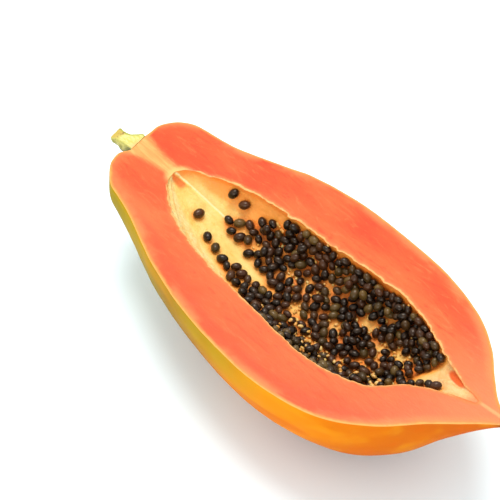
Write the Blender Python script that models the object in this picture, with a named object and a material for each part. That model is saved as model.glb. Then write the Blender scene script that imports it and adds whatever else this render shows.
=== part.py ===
"""Half a papaya, cut lengthwise through its stalk and lying on its back with the cut face up.

Metres, +Z up. The fruit runs along X from the stalk (low X) to the blossom tip (high X).
The far half of the cut face is at +Y. Z is 0 on the surface that the fruit rests on.
"""

import math
import random
from functools import lru_cache

import bmesh
import bpy
import numpy as np
from mathutils import Matrix, Vector
from mathutils.bvhtree import BVHTree

# Whole fruit
CUT_HEIGHT = 0.0630  # the cut face above the resting surface
REST_TRIM = 0.0012  # how much of the belly the flat resting spot takes off
REST_CUTTER = (0.300, 0.200, 0.020)
STATIONS = 42
STATION_CROWDING = 0.72  # share by which the sections crowd towards both ends
ARC_SIDES = 20

# Outline of the fruit, from the stalk's hollow to the tip: (distance along, half-width, middle's sideways place)
OUTLINE = (
    (0.0079, 0.0069, -0.0048),
    (0.0075, 0.0091, -0.0040),
    (0.0058, 0.0149, -0.0031),
    (0.0071, 0.0202, -0.0024),
    (0.0106, 0.0258, -0.0021),
    (0.0172, 0.0306, -0.0022),
    (0.0256, 0.0340, -0.0036),
    (0.0361, 0.0361, -0.0040),
    (0.0468, 0.0386, -0.0042),
    (0.0602, 0.0432, -0.0040),
    (0.0751, 0.0488, -0.0038),
    (0.0915, 0.0546, -0.0033),
    (0.1219, 0.0606, -0.0042),
    (0.1568, 0.0627, -0.0059),
    (0.1902, 0.0611, -0.0068),
    (0.2203, 0.0530, -0.0066),
    (0.2408, 0.0392, -0.0042),
    (0.2553, 0.0230, -0.0006),
    (0.2664, 0.0119, 0.0018),
    (0.2744, 0.0055, 0.0045),
    (0.2811, 0.0016, 0.0072),
)

# Five soft lobes run along the fruit, strongest below the shoulders: (distance along, share of radius)
LOBES = 5
LOBE_HEIGHT = (
    (0.006, 0.020),
    (0.020, 0.055),
    (0.045, 0.080),
    (0.080, 0.044),
    (0.120, 0.024),
    (0.160, 0.024),
    (0.200, 0.016),
    (0.225, -0.004),
    (0.245, -0.026),
    (0.282, -0.026),
)

# The stalk's hollow leans: its near side stands back and its far side forward
HOLLOW_SLOPE = 0.33
LEAN_FULL = 0.0075  # half-width from which the lean grows no further
LEAN_ENDS = 0.0600  # distance along where the lean has died away

# Seed cavity as (distance along, half-width), with its own centre line
CAVITY = (
    (0.0405, 0.0012),
    (0.0440, 0.0080),
    (0.0550, 0.0150),
    (0.0660, 0.0203),
    (0.0820, 0.0250),
    (0.1070, 0.0287),
    (0.1350, 0.0305),
    (0.1660, 0.0328),
    (0.1870, 0.0333),
    (0.2060, 0.0297),
    (0.2200, 0.0235),
    (0.2320, 0.0140),
    (0.2470, 0.0060),
    (0.2610, 0.0012),
)
CAVITY_CENTRE = (
    (0.0400, -0.0045),
    (0.1000, -0.0060),
    (0.2060, -0.0050),
    (0.2220, -0.0035),
    (0.2340, 0.0015),
    (0.2620, 0.0048),
)
CAVITY_DEPTH = ((0.040, 0.80), (0.100, 0.88), (0.200, 0.86), (0.230, 0.66), (0.262, 0.40))
CAVITY_SQUARENESS = 0.85  # below 1 makes the walls steeper and the floor flatter
CAVITY_STATIONS = 30
CAVITY_CROWDING = 0.6
CAVITY_SIDES = 20
CUTTER_RISE = 0.0060  # how far the cavity cutter stands above the cut face

# Placental ridges along the cavity wall, where the seeds grow, as angles down from the far rim
RIDGE_ANGLES = (-1.0, 71.0, 143.0)
RIDGE_SPREAD = 7.8  # degrees
RIDGE_HEIGHT = 0.0013
RIDGE_FULL_FROM = 0.0120  # half-width of the cavity from which the ridges have their full height

# Seeds, drawn larger than life so that fewer of them still cover the wall
SEED_HALF_LENGTH = 0.0044
SEED_HALF_WIDTH = 0.0035
SEED_SIDES = 4
SEED_RING_HEIGHT, SEED_RING_RADIUS = 0.42, 0.93  # the two rings of corners, as shares of the half sizes
SEED_SPACING = 0.0064
SEED_DRAWS = 9000
SEED_TIP_UP = 0.7  # how far a seed's long axis may tip out of the wall's plane
RANDOM_START = 11
WALL_CLEARANCE = 0.0005
PROBE_TURNS = 8  # points round a seed where its clearance is measured
HEAP_RISE = 0.0052  # height of a second seed lying on the first layer
HEAP_SPACING = 0.0135
HEAP_DRAWS = 900

# Strands of pulp join neighbouring seeds that don't already run into each other
STRAND_SIDES = 3
STRAND_RADIUS = 0.0013
SURE_REACH = 0.75  # share of a seed's rounded reach that its flat sides surely fill

# Where seeds begin and end along the fruit, for angles down from the far rim: (angle, first, last)
SEEDED = (
    (8.0, 0.1060, 0.2200),
    (20.0, 0.0960, 0.2270),
    (35.0, 0.0890, 0.2310),
    (50.0, 0.0830, 0.2290),
    (62.0, 0.0790, 0.2250),
    (76.0, 0.0790, 0.2210),
    (84.0, 0.1180, 0.2190),
    (92.0, 0.1200, 0.2170),
    (99.0, 0.0960, 0.2150),
    (110.0, 0.0930, 0.2150),
    (135.0, 0.1080, 0.2130),
    (172.0, 0.1180, 0.2080),
)

# Bare patches of the lining among the seeds: (distance along, angle, radius)
BARE = (
    (0.099, 66.0, 0.0042),
    (0.102, 28.0, 0.0032),
    (0.127, 29.0, 0.0036),
    (0.126, 64.0, 0.0045),
    (0.138, 60.0, 0.0050),
    (0.145, 46.0, 0.0040),
    (0.144, 92.0, 0.0048),
    (0.165, 101.0, 0.0046),
    (0.174, 58.0, 0.0058),
    (0.186, 37.0, 0.0036),
    (0.194, 77.0, 0.0048),
    (0.206, 57.0, 0.0055),
    (0.203, 91.0, 0.0046),
    (0.160, 140.0, 0.0060),
    (0.190, 125.0, 0.0050),
)

# Seeds that sit alone on the wall near the stalk: (distance along, angle)
LONE_SEEDS = ((0.062, 92.0), (0.076, 101.0), (0.084, 103.0), (0.068, 20.0), (0.076, 29.0), (0.072, 66.0))
LONE_SHARE = 0.78  # their size beside that of the massed seeds
LONE_SINK = 0.0014
LONE_MARGIN = 0.0086  # the massed seeds keep this far from them

# Stalk stub, cut lengthwise above its middle: (distance along, sideways, half-width at the cut, depth)
STALK = (
    (0.0073, -0.0049, 0.0066, 0.0072),
    (0.0057, -0.0048, 0.0066, 0.0082),
    (0.0030, -0.0065, 0.0051, 0.0086),
    (0.0000, -0.0081, 0.0039, 0.0083),
    (-0.0032, -0.0087, 0.0039, 0.0068),
    (-0.0060, -0.0096, 0.0048, 0.0059),
    (-0.0074, -0.0098, 0.0048, 0.0045),
)
STALK_ACROSS = (0.34, -0.94)  # the direction of every section's cut edge, towards the near side
STALK_STEPS = 2  # sections for each row above
STALK_SIDES = 14
STALK_RIBS = 5
STALK_RIB_HEIGHT = 0.05
STALK_FACE_DROP = 0.0004  # the stalk's cut face lies a little below the flesh

SMOOTH_BELOW = math.radians(35)  # edges bent by less than this are shaded smooth


@lru_cache(maxsize=None)
def catmull_rom(points, steps=16):
    """A smooth curve through the points, as rows of the same kind of values."""
    p = np.array(points, float)
    p = np.vstack([2 * p[0] - p[1], p, 2 * p[-1] - p[-2]])
    t = np.linspace(0, 1, steps, endpoint=False)[:, None]
    rows = [
        0.5 * (2 * b + (c - a) * t + (2 * a - 5 * b + 4 * c - d) * t**2 + (3 * b - a - 3 * c + d) * t**3)
        for a, b, c, d in zip(p, p[1:], p[2:], p[3:])
    ]
    return np.vstack([*rows, p[-2]])


def stations(points, count, end_crowding):
    """Evenly spread rows along the smooth curve, crowded towards both ends by end_crowding (0 to 1)."""
    curve = catmull_rom(points)
    run = np.concatenate([[0], np.cumsum(np.linalg.norm(np.diff(curve, axis=0), axis=1))])
    t = np.linspace(0, 1, count)
    t = (1 - end_crowding) * t + end_crowding * (1 - np.cos(math.pi * t)) / 2
    return np.column_stack([np.interp(t * run[-1], run, column) for column in curve.T])


def along(table, x):
    """The table's second value at x, read from the smooth curve through its rows."""
    curve = catmull_rom(table)
    return np.interp(x, curve[:, 0], curve[:, 1])


def smooth_step(x):
    x = np.clip(x, 0.0, 1.0)
    return x * x * (3 - 2 * x)


def fruit_ring(x, radius, middle):
    """One half-round section of the fruit, from the far rim under the belly to the near rim."""
    angle = -math.pi * np.arange(ARC_SIDES + 1) / ARC_SIDES
    lobe = 1 + np.interp(x, *zip(*LOBE_HEIGHT)) * np.cos(LOBES * (angle + math.pi / 2))
    reach = radius * lobe
    lean = HOLLOW_SLOPE * np.minimum(reach, LEAN_FULL) * smooth_step(1 - x / LEAN_ENDS)
    return np.column_stack(
        [
            x - lean * np.cos(angle),
            middle + reach * np.cos(angle),
            CUT_HEIGHT + reach * np.sin(angle),
        ]
    )


def ridge_rise(angle):
    """Height of the placental ridges at an angle (degrees) down from the far rim."""
    return sum(RIDGE_HEIGHT * math.exp(-(((angle - ridge) / RIDGE_SPREAD) ** 2)) for ridge in RIDGE_ANGLES)


def cavity_point(x, half_width, angle):
    """A point on the cavity wall. The angle, in degrees, is 0 at the far rim and 180 at the near one."""
    a = math.radians(angle)
    reach = half_width - ridge_rise(angle) * smooth_step(half_width / RIDGE_FULL_FROM)
    c, s = math.cos(a), math.sin(a)
    return Vector(
        (
            x,
            along(CAVITY_CENTRE, x) + reach * math.copysign(abs(c) ** CAVITY_SQUARENESS, c),
            CUT_HEIGHT - np.interp(x, *zip(*CAVITY_DEPTH)) * reach * abs(s) ** CAVITY_SQUARENESS,
        )
    )


def wall_at(x, angle):
    """Point and inward normal of the cavity wall."""
    width = along(CAVITY, x)
    step_x, step_angle = 0.0005, 1.0  # small steps along and round the wall
    here = cavity_point(x, width, angle)
    down_length = cavity_point(x + step_x, along(CAVITY, x + step_x), angle) - here
    round_wall = cavity_point(x, width, angle + step_angle) - here
    normal = round_wall.cross(down_length).normalized()
    middle = Vector((x, along(CAVITY_CENTRE, x), CUT_HEIGHT))
    return here, normal if normal.dot(middle - here) > 0 else -normal


def material(name, colour, roughness):
    made = bpy.data.materials.new(name)
    made.use_nodes = True
    shader = made.node_tree.nodes["Principled BSDF"]
    shader.inputs["Base Color"].default_value = (*colour, 1)
    shader.inputs["Roughness"].default_value = roughness
    shader.inputs["Metallic"].default_value = 0
    made.diffuse_color = (*colour, 1)
    return made


def place(name, bm, finish):
    """Turns a bmesh into a linked, smooth-shaded object with one material."""
    bmesh.ops.recalc_face_normals(bm, faces=bm.faces)
    mesh = bpy.data.meshes.new(name)
    bm.to_mesh(mesh)
    bm.free()
    mesh.shade_smooth()
    mesh.set_sharp_from_angle(angle=SMOOTH_BELOW)
    if finish:
        mesh.materials.append(finish)
    made = bpy.data.objects.new(name, mesh)
    bpy.context.scene.collection.objects.link(made)
    return made


def loft(name, rings, finish):
    """A closed body through rings of equally many points, with a flat face over each end ring."""
    bm = bmesh.new()
    rows = [[bm.verts.new(p) for p in ring] for ring in rings]
    for low, high in zip(rows, rows[1:]):
        for i in range(len(low)):
            j = (i + 1) % len(low)
            bm.faces.new((low[i], low[j], high[j], high[i]))
    bm.faces.new(rows[0])
    bm.faces.new(rows[-1][::-1])
    return place(name, bm, finish)


def cutter(made):
    made.hide_render = True
    made.display_type = "WIRE"
    return made


def boolean(target, operation, solver="EXACT", tool=None, group=None):
    """Adds one Boolean and applies it, so that its cutters can go."""
    step = target.modifiers.new(operation.title(), "BOOLEAN")
    step.operation = operation
    step.solver = solver
    if group:
        step.operand_type = "COLLECTION"
        step.collection = group
    else:
        step.object = tool
    evaluated = target.evaluated_get(bpy.context.evaluated_depsgraph_get())
    result = bpy.data.meshes.new_from_object(evaluated)
    target.modifiers.remove(step)
    target.data = result
    for used in [tool] if tool else list(group.objects):
        bpy.data.objects.remove(used)
    return target


def tool_body(name, bm, group):
    """A body that only takes part in a Boolean, as one of its group."""
    mesh = bpy.data.meshes.new(name)
    bm.to_mesh(mesh)
    bm.free()
    made = bpy.data.objects.new(name, mesh)
    group.objects.link(made)
    return made


def seed_body(name, centre, direction, spin, group, share=1.0):
    """One seed with few flat sides and its long axis along direction."""
    bm = bmesh.new()
    turns = np.arange(SEED_SIDES) * math.tau / SEED_SIDES
    half_step = math.pi / SEED_SIDES
    upper, lower = (
        [
            bm.verts.new((SEED_RING_RADIUS * math.cos(a), SEED_RING_RADIUS * math.sin(a), height))
            for a in turns + shift
        ]
        for height, shift in ((SEED_RING_HEIGHT, 0), (-SEED_RING_HEIGHT, half_step))
    )
    top, bottom = bm.verts.new((0, 0, 1)), bm.verts.new((0, 0, -1))
    for i in range(SEED_SIDES):
        j = (i + 1) % SEED_SIDES
        bm.faces.new((top, upper[i], upper[j]))
        bm.faces.new((upper[i], lower[i], upper[j]))
        bm.faces.new((upper[j], lower[i], lower[j]))
        bm.faces.new((bottom, lower[j], lower[i]))
    turn = direction.to_track_quat("Z", "Y").to_matrix().to_4x4() @ Matrix.Rotation(spin, 4, "Z")
    size = Matrix.Diagonal((SEED_HALF_WIDTH * share, SEED_HALF_WIDTH * share, SEED_HALF_LENGTH * share, 1))
    bmesh.ops.transform(bm, matrix=Matrix.Translation(centre) @ turn @ size, verts=bm.verts)
    return tool_body(name, bm, group)


def strand_body(name, start, end, group):
    """A thin strand of pulp between two seeds."""
    bm = bmesh.new()
    gap = end - start
    bmesh.ops.create_cone(
        bm,
        cap_ends=True,
        segments=STRAND_SIDES,
        radius1=STRAND_RADIUS,
        radius2=STRAND_RADIUS,
        depth=gap.length,
        matrix=Matrix.Translation((start + end) / 2) @ gap.to_track_quat("Z", "Y").to_matrix().to_4x4(),
    )
    return tool_body(name, bm, group)


def height_along(normal, direction):
    """How far a rounded seed with this long axis stands out from its centre along the normal."""
    lean = normal.dot(direction)
    return math.sqrt((SEED_HALF_LENGTH * lean) ** 2 + SEED_HALF_WIDTH**2 * (1 - lean**2))


def open_gap(one, other):
    """Length between two seeds, on the line between their centres, that neither surely fills."""
    line = other[0] - one[0]
    reach = 0
    for _, direction in (one, other):
        lean = line.normalized().dot(direction) ** 2
        reach += SURE_REACH / math.sqrt(lean / SEED_HALF_LENGTH**2 + (1 - lean) / SEED_HALF_WIDTH**2)
    return line.length - reach


def seed_direction(rng, normal):
    """A seed lies roughly along the wall, turned at random and tipped a little."""
    side = normal.orthogonal().normalized()
    flat = Matrix.Rotation(rng.uniform(0, math.tau), 3, normal) @ side
    return (flat + normal * rng.uniform(-SEED_TIP_UP, SEED_TIP_UP)).normalized()


def in_seeded_area(x, angle):
    angles, first, last = zip(*SEEDED)
    return np.interp(angle, angles, first) < x < np.interp(angle, angles, last)


def seed_places(rng):
    """Seeds as (centre, direction, wall normal): a layer packed from the stalk's end, a few heaped on it."""
    bare = [(wall_at(x, angle)[0], radius) for x, angle, radius in BARE]
    bare += [(wall_at(x, angle)[0], LONE_MARGIN) for x, angle in LONE_SEEDS]
    angles, first, last = zip(*SEEDED)
    found = []
    for layer, draws, spacing in ((0, SEED_DRAWS, SEED_SPACING), (1, HEAP_DRAWS, HEAP_SPACING)):
        spots = [
            (rng.uniform(min(first), max(last)), rng.uniform(angles[0], angles[-1])) for _ in range(draws)
        ]
        kept = []
        for x, angle in spots if layer else sorted(spots):
            if not in_seeded_area(x, angle):
                continue
            wall, normal = wall_at(x, angle)
            direction = seed_direction(rng, normal)
            centre = wall + normal * (height_along(normal, direction) + WALL_CLEARANCE + layer * HEAP_RISE)
            if any((wall - spot).length < radius for spot, radius in bare):
                continue
            if centre.z + height_along(Vector((0, 0, 1)), direction) > CUT_HEIGHT:
                continue
            if all((centre - other).length > spacing for other, _, _ in kept):
                kept.append((centre, direction, normal))
        found += kept
    return found


def clear_of_wall(seed, wall_tree):
    """Moves a seed inwards until all of it stands clear of the wall's flat facets."""
    centre, direction, normal = seed
    turn = direction.to_track_quat("Z", "Y").to_matrix()
    probes = []
    for share, height in ((0, 1), (0, -1), (0.87, 0.5), (1, 0), (0.87, -0.5)):
        for a in np.arange(PROBE_TURNS) * math.tau / PROBE_TURNS:
            across = SEED_HALF_WIDTH * share
            probe = Vector((across * math.cos(a), across * math.sin(a), SEED_HALF_LENGTH * height))
            probes.append(turn @ probe)
    for _ in range(4):
        worst = WALL_CLEARANCE
        for probe in probes:
            point = centre + probe
            wall, wall_normal, _, _ = wall_tree.find_nearest(point)
            worst = min(worst, (wall - point).dot(wall_normal))
        centre = centre + normal * (WALL_CLEARANCE - worst)
    return centre, direction


def joined_pairs(seeds):
    """Pairs of neighbours, with the open gap of each, that tie all seeds together."""
    waiting = set(range(1, len(seeds)))
    nearest = {i: (open_gap(seeds[i], seeds[0]), 0) for i in waiting}
    pairs = []
    while waiting:
        i = min(waiting, key=lambda k: nearest[k])
        pairs.append((i, nearest[i][1], nearest[i][0]))
        waiting.remove(i)
        for k in waiting:
            nearest[k] = min(nearest[k], (open_gap(seeds[k], seeds[i]), i))
    return pairs


def keep_largest(made):
    """Drops loose scraps and sealed hollows: only the largest connected surface stays."""
    bm = bmesh.new()
    bm.from_mesh(made.data)
    waiting, largest = set(bm.verts), set()
    while waiting:
        part, front = set(), [next(iter(waiting))]
        while front:
            vert = front.pop()
            if vert in part:
                continue
            part.add(vert)
            front += [edge.other_vert(vert) for edge in vert.link_edges]
        waiting -= part
        largest = max(largest, part, key=len)
    bmesh.ops.delete(bm, geom=[v for v in bm.verts if v not in largest], context="VERTS")
    bm.to_mesh(made.data)
    bm.free()


def make_fruit(flesh):
    """Skin, flesh and lining grew as one piece: one solid, hollowed by its seed cavity."""
    sections = stations(OUTLINE, STATIONS, STATION_CROWDING)
    fruit = loft("fruit_half", [fruit_ring(*section) for section in sections], flesh)
    rings = []
    for x, width in stations(CAVITY, CAVITY_STATIONS, CAVITY_CROWDING):
        wall = [cavity_point(x, width, 180.0 * i / CAVITY_SIDES) for i in range(CAVITY_SIDES + 1)]
        top = [Vector((p.x, p.y, CUT_HEIGHT + CUTTER_RISE)) for p in (wall[-1], wall[0])]
        rings.append(wall + top)
    hollow = cutter(loft("cavity_cutter", rings, None))
    wall_tree = BVHTree.FromObject(hollow, bpy.context.evaluated_depsgraph_get())
    boolean(fruit, "DIFFERENCE", tool=hollow)

    lowest = min((v.co for v in fruit.data.vertices), key=lambda point: point.z)
    centre = (lowest.x, 0, lowest.z + REST_TRIM - REST_CUTTER[2] / 2)
    bm = bmesh.new()
    bmesh.ops.create_cube(bm, size=1, matrix=Matrix.LocRotScale(centre, None, REST_CUTTER))
    boolean(fruit, "DIFFERENCE", tool=cutter(place("rest_cutter", bm, None)))
    return fruit, wall_tree


def add_lone_seeds(fruit, rng):
    """The few seeds that sit alone are part of the wall that they grow from."""
    group = bpy.data.collections.new("lone seeds")
    bpy.context.scene.collection.children.link(group)
    for i, (x, angle) in enumerate(LONE_SEEDS):
        wall, normal = wall_at(x, angle)
        direction = seed_direction(rng, normal)
        centre = wall + normal * (height_along(normal, direction) * LONE_SHARE - LONE_SINK)
        seed_body(f"lone_{i}", centre, direction, rng.uniform(0, math.tau), group, LONE_SHARE)
    boolean(fruit, "UNION", solver="MANIFOLD", group=group)
    bpy.data.collections.remove(group)


def make_seed_mass(wall_tree, finish, rng):
    """The dark seeds that touch each other hold together as one body in the cavity."""
    seeds = [clear_of_wall(seed, wall_tree) for seed in seed_places(rng)]
    group = bpy.data.collections.new("seeds")
    bpy.context.scene.collection.children.link(group)
    bodies = [
        seed_body(f"seed_{i}", centre, direction, rng.uniform(0, math.tau), group)
        for i, (centre, direction) in enumerate(seeds)
    ]
    for i, j, gap in joined_pairs(seeds):
        if gap > 0:
            strand_body(f"strand_{i}", seeds[i][0], seeds[j][0], group)
    mass = bodies[0]
    group.objects.unlink(mass)
    bpy.context.scene.collection.objects.link(mass)
    boolean(mass, "UNION", solver="MANIFOLD", group=group)
    bpy.data.collections.remove(group)
    keep_largest(mass)
    mass.name = mass.data.name = "seed_mass"
    mass.data.materials.clear()
    mass.data.materials.append(finish)
    mass.data.shade_smooth()
    mass.data.set_sharp_from_angle(angle=SMOOTH_BELOW)
    return mass


def stalk_section(half_width, depth):
    """Offsets (sideways, up) round a section, from its far corner under the stalk to its near corner."""
    radius = (half_width**2 + depth**2) / (2 * depth)
    above_middle = depth - radius
    start = math.atan2(above_middle, half_width)
    section = []
    for i in range(STALK_SIDES + 1):
        turn = (math.pi + 2 * start) * i / STALK_SIDES - start
        rib = STALK_RIB_HEIGHT * math.cos(STALK_RIBS * (turn - math.pi / 2)) * max(math.sin(turn), 0)
        reach = radius * (1 + rib)
        section.append((-reach * math.cos(turn), -above_middle - reach * math.sin(turn)))
    return section


def make_stalk(finish):
    """The stub of the stalk, cut lengthwise with the fruit, with soft ribs on its round side."""
    across = Vector((*STALK_ACROSS, 0)).normalized()
    rings = []
    for x, side, half_width, depth in catmull_rom(STALK, STALK_STEPS):
        middle = Vector((x, side, CUT_HEIGHT - STALK_FACE_DROP))
        section = stalk_section(half_width, depth)
        rings.append([middle + across * out + Vector((0, 0, up)) for out, up in section])
    return loft("stalk", rings, finish)


def centre_on_footprint(pieces):
    """Puts the origin under the middle of the whole object, on the resting surface."""
    corners = np.array([v.co for piece in pieces for v in piece.data.vertices])
    middle = (corners.min(axis=0) + corners.max(axis=0)) / 2
    for piece in pieces:
        piece.location = (-middle[0], -middle[1], -corners[:, 2].min())


def main():
    for old in list(bpy.data.objects):
        bpy.data.objects.remove(old)
    rng = random.Random(RANDOM_START)
    flesh = material("papaya flesh", (0.93, 0.25, 0.06), 0.38)
    seed_coat = material("papaya seed coat", (0.025, 0.018, 0.014), 0.22)
    stalk_green = material("papaya stalk", (0.62, 0.62, 0.22), 0.55)
    fruit, wall_tree = make_fruit(flesh)
    add_lone_seeds(fruit, rng)
    seeds = make_seed_mass(wall_tree, seed_coat, rng)
    stalk = make_stalk(stalk_green)
    centre_on_footprint([fruit, seeds, stalk])


main()
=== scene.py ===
"""Looks of the papaya half: skin, cut flesh, lined seed cavity, seeds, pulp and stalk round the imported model.

Shapes are worked out in the fruit's own coordinates (metres, X from the stalk to the tip, +Y the far side,
Z 0 at the cut face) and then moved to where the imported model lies.
"""

import math
import random
from functools import lru_cache, partial, reduce

import bmesh
import bpy
import numpy as np
from mathutils import Matrix, Vector, noise


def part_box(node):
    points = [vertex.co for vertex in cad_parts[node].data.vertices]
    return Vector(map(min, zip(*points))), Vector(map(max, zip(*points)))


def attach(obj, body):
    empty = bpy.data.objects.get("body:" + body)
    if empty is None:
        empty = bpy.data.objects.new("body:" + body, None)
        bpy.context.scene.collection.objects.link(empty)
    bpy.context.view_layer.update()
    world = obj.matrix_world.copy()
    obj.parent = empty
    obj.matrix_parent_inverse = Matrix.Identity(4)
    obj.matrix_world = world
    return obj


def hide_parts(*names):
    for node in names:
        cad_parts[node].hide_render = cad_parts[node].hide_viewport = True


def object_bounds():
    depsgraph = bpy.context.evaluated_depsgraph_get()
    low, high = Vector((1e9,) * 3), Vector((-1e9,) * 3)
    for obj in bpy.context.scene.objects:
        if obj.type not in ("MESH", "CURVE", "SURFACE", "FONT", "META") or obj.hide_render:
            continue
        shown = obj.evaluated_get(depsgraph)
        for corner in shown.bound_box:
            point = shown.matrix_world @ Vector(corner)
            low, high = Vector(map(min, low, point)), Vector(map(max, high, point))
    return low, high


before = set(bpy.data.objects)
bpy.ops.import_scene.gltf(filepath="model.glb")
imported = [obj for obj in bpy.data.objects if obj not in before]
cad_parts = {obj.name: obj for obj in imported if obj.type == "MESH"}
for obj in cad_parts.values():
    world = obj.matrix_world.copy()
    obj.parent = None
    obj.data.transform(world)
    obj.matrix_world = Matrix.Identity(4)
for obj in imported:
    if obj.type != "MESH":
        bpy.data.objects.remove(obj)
cad_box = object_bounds()

MM = 0.001
POINTS_AT_ONCE = 2000
SHARP_FROM = math.radians(50)

# Outline from the stalk's hollow to the tip: (distance along, half-width, sideways place of its middle)
OUTLINE = (
    (0.0079, 0.0069, -0.0048),
    (0.0075, 0.0091, -0.0040),
    (0.0058, 0.0149, -0.0031),
    (0.0071, 0.0202, -0.0024),
    (0.0106, 0.0258, -0.0021),
    (0.0172, 0.0306, -0.0022),
    (0.0256, 0.0340, -0.0036),
    (0.0361, 0.0361, -0.0040),
    (0.0468, 0.0386, -0.0042),
    (0.0602, 0.0432, -0.0040),
    (0.0751, 0.0488, -0.0038),
    (0.0915, 0.0546, -0.0033),
    (0.1219, 0.0606, -0.0042),
    (0.1568, 0.0627, -0.0059),
    (0.1902, 0.0611, -0.0068),
    (0.2203, 0.0530, -0.0066),
    (0.2408, 0.0392, -0.0042),
    (0.2553, 0.0230, -0.0006),
    (0.2664, 0.0119, 0.0018),
    (0.2744, 0.0055, 0.0045),
    (0.2811, 0.0016, 0.0072),
)
SKIN_INSET = 0.00025
BROAD_DENTS, FINE_DENTS = 0.00020, 0.00008

# Lobes round the fruit: (distance along, height as a share of the half-width)
LOBES = 5
LOBE_HEIGHT = (
    (0.006, 0.020),
    (0.020, 0.055),
    (0.045, 0.080),
    (0.080, 0.044),
    (0.120, 0.024),
    (0.160, 0.024),
    (0.200, 0.016),
    (0.225, -0.004),
    (0.245, -0.026),
    (0.282, -0.026),
)

# The hollow round the stalk: its slope, how far out it leans and how far along it fades
HOLLOW_SLOPE = 0.33
LEAN_FULL = 0.0075
LEAN_ENDS = 0.0600

# Seed cavity: (distance along, half-width), its centre line and its depth as a share of its half-width
CAVITY = (
    (0.0405, 0.0012),
    (0.0440, 0.0080),
    (0.0550, 0.0150),
    (0.0660, 0.0203),
    (0.0820, 0.0250),
    (0.1070, 0.0287),
    (0.1350, 0.0305),
    (0.1660, 0.0328),
    (0.1870, 0.0333),
    (0.2060, 0.0297),
    (0.2200, 0.0235),
    (0.2320, 0.0140),
    (0.2470, 0.0060),
    (0.2610, 0.0012),
)
CAVITY_CENTRE = (
    (0.0400, -0.0045),
    (0.1000, -0.0060),
    (0.2060, -0.0050),
    (0.2220, -0.0035),
    (0.2340, 0.0015),
    (0.2620, 0.0048),
)
CAVITY_DEPTH = ((0.040, 0.80), (0.100, 0.88), (0.200, 0.86), (0.230, 0.66), (0.262, 0.40))
CAVITY_SQUARENESS = 0.85
RIDGE_ANGLES = (-1.0, 71.0, 143.0)
RIDGE_SPREAD = 7.8
RIDGE_HEIGHT = 0.0013
RIDGE_FULL_FROM = 0.0120

# Low relief of the lining: wrinkles, the torn edge, and the strand of pulp that runs down from the stalk
WRINKLE_HEIGHT, CREASE_HEIGHT, FRILL_HEIGHT = 0.00042, 0.00022, 0.0016
STRAND_ANGLE, STRAND_WIDTH, STRAND_HEIGHT, STRAND_LUMPS = 65.0, 0.0016, 0.0004, 0.0002

# How finely the fruit is drawn
STATIONS = 360
SKIN_SIDES = 84
FACE_STRIPS = 26
CAVITY_SIDES = 112

# Softened edges of the cut face, in metres
SKIN_EDGE_ROUND, SKIN_EDGE_DROP = 0.0012, 0.00032
LINING_EDGE_ROUND, LINING_EDGE_DROP = 0.0016, 0.00055
FACE_WAVES = 0.00010

# Seeds at their real size: a packed layer, and a second one on it that stays off its edges and bare patches
SEED_LENGTH, SEED_WIDTH = 0.0060, 0.0045
SEED_SIZE = ((0.060, 1.08), (0.130, 1.04), (0.190, 0.96), (0.240, 0.90))
SEED_SPACING, SEED_DRAWS = 0.0046, 18000
SECOND_SPACING, SECOND_DRAWS = 0.0044, 7000
SECOND_RISE, SECOND_INSET, SECOND_CLEARANCE = 0.0034, 0.006, 0.5
SEED_SINK, SINGLE_SINK, SINGLE_TIP = 0.0002, 0.0003, 0.25
# How far and how strongly the seeds tint the lining round them: partly juice, partly painted contact shade
JUICE_AND_SHADE_REACH, JUICE_AND_SHADE_STRENGTH = 0.0036, 1.8
RANDOM_START = 5

# The second layer lies in heaps: it is left out where a cloud is under a limit, lower in the dense far band
HEAPS_PER_METRE = 70
FAR_BAND_ENDS, FAR_LIMIT, NEAR_LIMIT = 56, -0.30, 0.10

# Where seeds begin and end along the fruit: (degrees down from the far rim, first, last)
SEEDED = (
    (6.0, 0.1120, 0.2190),
    (13.0, 0.1050, 0.2260),
    (26.0, 0.0960, 0.2300),
    (34.0, 0.0900, 0.2320),
    (50.0, 0.0850, 0.2300),
    (60.0, 0.0820, 0.2260),
    (74.0, 0.0880, 0.2220),
    (80.0, 0.1050, 0.2200),
    (88.0, 0.1260, 0.2190),
    (96.0, 0.1200, 0.2170),
    (101.0, 0.0980, 0.2150),
    (110.0, 0.1020, 0.2150),
    (117.0, 0.1140, 0.2150),
    (126.0, 0.1280, 0.2140),
    (135.0, 0.1380, 0.2130),
    (173.0, 0.1500, 0.2080),
)

# Seeds that can be told apart on the bare lining: (distance along, degrees down from the far rim)
SINGLE_SEEDS = (
    (0.0620, 92.0), (0.0760, 101.0), (0.0840, 102.0), (0.0680, 20.0), (0.0760, 28.0),
    (0.0750, 67.0), (0.0805, 74.0), (0.0865, 73.0), (0.0800, 58.0), (0.0850, 50.0),
    (0.0900, 34.0), (0.0960, 26.0), (0.1050, 13.0), (0.0970, 79.0), (0.1050, 80.0),
    (0.0920, 104.0), (0.0968, 106.0), (0.1000, 98.0), (0.1040, 112.0), (0.2190, 88.0),
    (0.2232, 95.0), (0.2276, 100.0), (0.2320, 105.0), (0.2364, 108.0), (0.2402, 110.0),
)

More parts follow.
